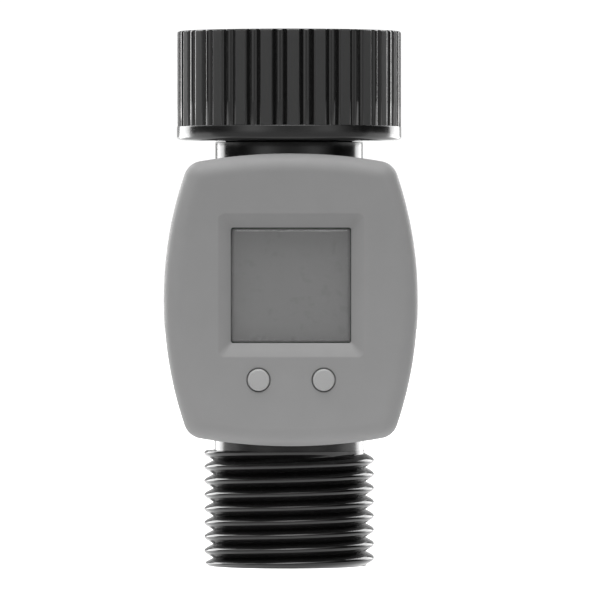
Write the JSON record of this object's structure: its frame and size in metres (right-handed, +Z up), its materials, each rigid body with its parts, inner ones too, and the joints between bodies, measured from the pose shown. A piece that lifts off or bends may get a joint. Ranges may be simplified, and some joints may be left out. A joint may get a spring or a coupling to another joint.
{
  "type": "drip irrigation timer",
  "caption": "In-line garden hose watering timer: ribbed swivel inlet nut, grey barrel housing with square display and push buttons, male hose thread outlet.",
  "frame": {"origin": "centre of the outlet end face, on the tube axis, in the plane that the part stands on", "axes": "+Z up the tube axis from outlet to inlet; the display faces -Y; +X is to the right when facing the display"},
  "size_m": [0.0398, 0.04, 0.0846],
  "materials": {
    "grey_housing": "fine satin moulding, mid grey",
    "button_grey": "satin, lighter grey",
    "black_fitting": "semi-gloss glass-filled black",
    "white_part": "satin white",
    "window": "clear plastic window",
    "panel": "blank grey liquid crystal panel",
    "seal_rubber": "black seal rubber",
    "washer_rubber": "dark grey washer rubber",
    "board": "green laminate",
    "chip": "black moulded package",
    "steel": "bright stainless",
    "brass": "plain turned brass",
    "seat": "smooth low-friction white",
    "red_sleeve": "red wire sleeve",
    "black_sleeve": "black wire sleeve"
  },
  "bodies": {
    "housing": {"outlet_body": "black_fitting", "inlet_tail": "black_fitting", "nut_retaining_ring": "steel", "hose_washer": "washer_rubber", "inlet_screen": "steel", "tail_o_ring": "seal_rubber", "upper_neck_seal": "seal_rubber", "lower_neck_seal": "seal_rubber", "front_housing": "grey_housing", "rear_housing": "grey_housing", "housing_gasket_left": "seal_rubber", "housing_gasket_right": "seal_rubber", "display_window": "window", "window_gasket": "seal_rubber", "lcd_panel": "panel", "lcd_holder": "white_part", "contact_strip_lower": "seal_rubber", "contact_strip_upper": "seal_rubber", "circuit_board": "board", "processor_chip": "chip", "capacitor": "steel", "button_seal_left": "seal_rubber", "button_seal_right": "seal_rubber", "switch_body_left": "chip", "switch_body_right": "chip", "coin_cell": "steel", "cell_contact_minus": "brass", "cell_contact_plus": "brass", "seat_ring_upper": "seat", "seat_ring_lower": "seat", "stem_gland": "white_part", "worm_bush": "brass", "gear_motor": "steel", "motor_bracket": "white_part", "cell_lead_plus": "red_sleeve", "cell_lead_minus": "black_sleeve", "motor_lead_plus": "red_sleeve", "motor_lead_minus": "black_sleeve", "housing_screw_1": "steel", "board_screw_1": "steel", "housing_screw_2": "steel", "board_screw_2": "steel", "housing_screw_3": "steel", "board_screw_3": "steel", "housing_screw_4": "steel", "board_screw_4": "steel"},
    "nut": {"inlet_nut": "black_fitting"},
    "button_l": {"button_left": "button_grey"},
    "button_r": {"button_right": "button_grey"},
    "plunger_l": {"switch_plunger_left": "white_part"},
    "plunger_r": {"switch_plunger_right": "white_part"},
    "valve": {"valve_ball": "steel", "valve_stem": "steel", "stem_o_ring": "seal_rubber", "stem_clip": "steel", "worm_wheel": "white_part"},
    "worm_shaft": {"worm": "brass"},
    "cover_carriage": {"cover_o_ring": "seal_rubber"},
    "cover": {"battery_cover": "grey_housing"}
  },
  "joints": [
    {"name": "nut_swivel", "type": "hinge", "parent": "housing", "child": "nut", "pos_m": [0, 0, 0.076], "axis": [0, 0, 1], "continuous": true},
    {"name": "button_left_press", "type": "slide", "parent": "housing", "child": "button_l", "axis": [0, 1, 0], "range_m": [0, 0.0005], "stiffness_N_per_m": 1500, "springref_m": -0.0003},
    {"name": "plunger_left_press", "type": "slide", "parent": "housing", "child": "plunger_l", "axis": [0, 1, 0], "range_m": [0, 0.00025]},
    {"name": "button_right_press", "type": "slide", "parent": "housing", "child": "button_r", "axis": [0, 1, 0], "range_m": [0, 0.0005], "stiffness_N_per_m": 1500, "springref_m": -0.0003},
    {"name": "plunger_right_press", "type": "slide", "parent": "housing", "child": "plunger_r", "axis": [0, 1, 0], "range_m": [0, 0.00025]},
    {"name": "valve_turn", "type": "hinge", "parent": "housing", "child": "valve", "pos_m": [0, 0, 0.0422], "axis": [1, 0, 0], "range_deg": [0, 90]},
    {"name": "worm_spin", "type": "hinge", "parent": "housing", "child": "worm_shaft", "pos_m": [0.0125, 0.0094, 0.0422], "axis": [0, 0, 1], "range_deg": [-2700, 0]},
    {"name": "cover_lift", "type": "slide", "parent": "housing", "child": "cover_carriage", "axis": [0, 1, 0], "range_m": [0, 0.003]},
    {"name": "cover_turn", "type": "hinge", "parent": "cover_carriage", "child": "cover", "pos_m": [0, 0.018, 0.0422], "axis": [0, 1, 0], "range_deg": [0, 720]}
  ],
  "couplings": [
    {"joint": "plunger_left_press", "follows": "button_left_press", "ratio": 0.5},
    {"joint": "plunger_right_press", "follows": "button_right_press", "ratio": 0.5},
    {"joint": "worm_spin", "follows": "valve_turn", "ratio": -30},
    {"joint": "cover_lift", "follows": "cover_turn", "m_per_rad": 0.00023873}
  ]
}
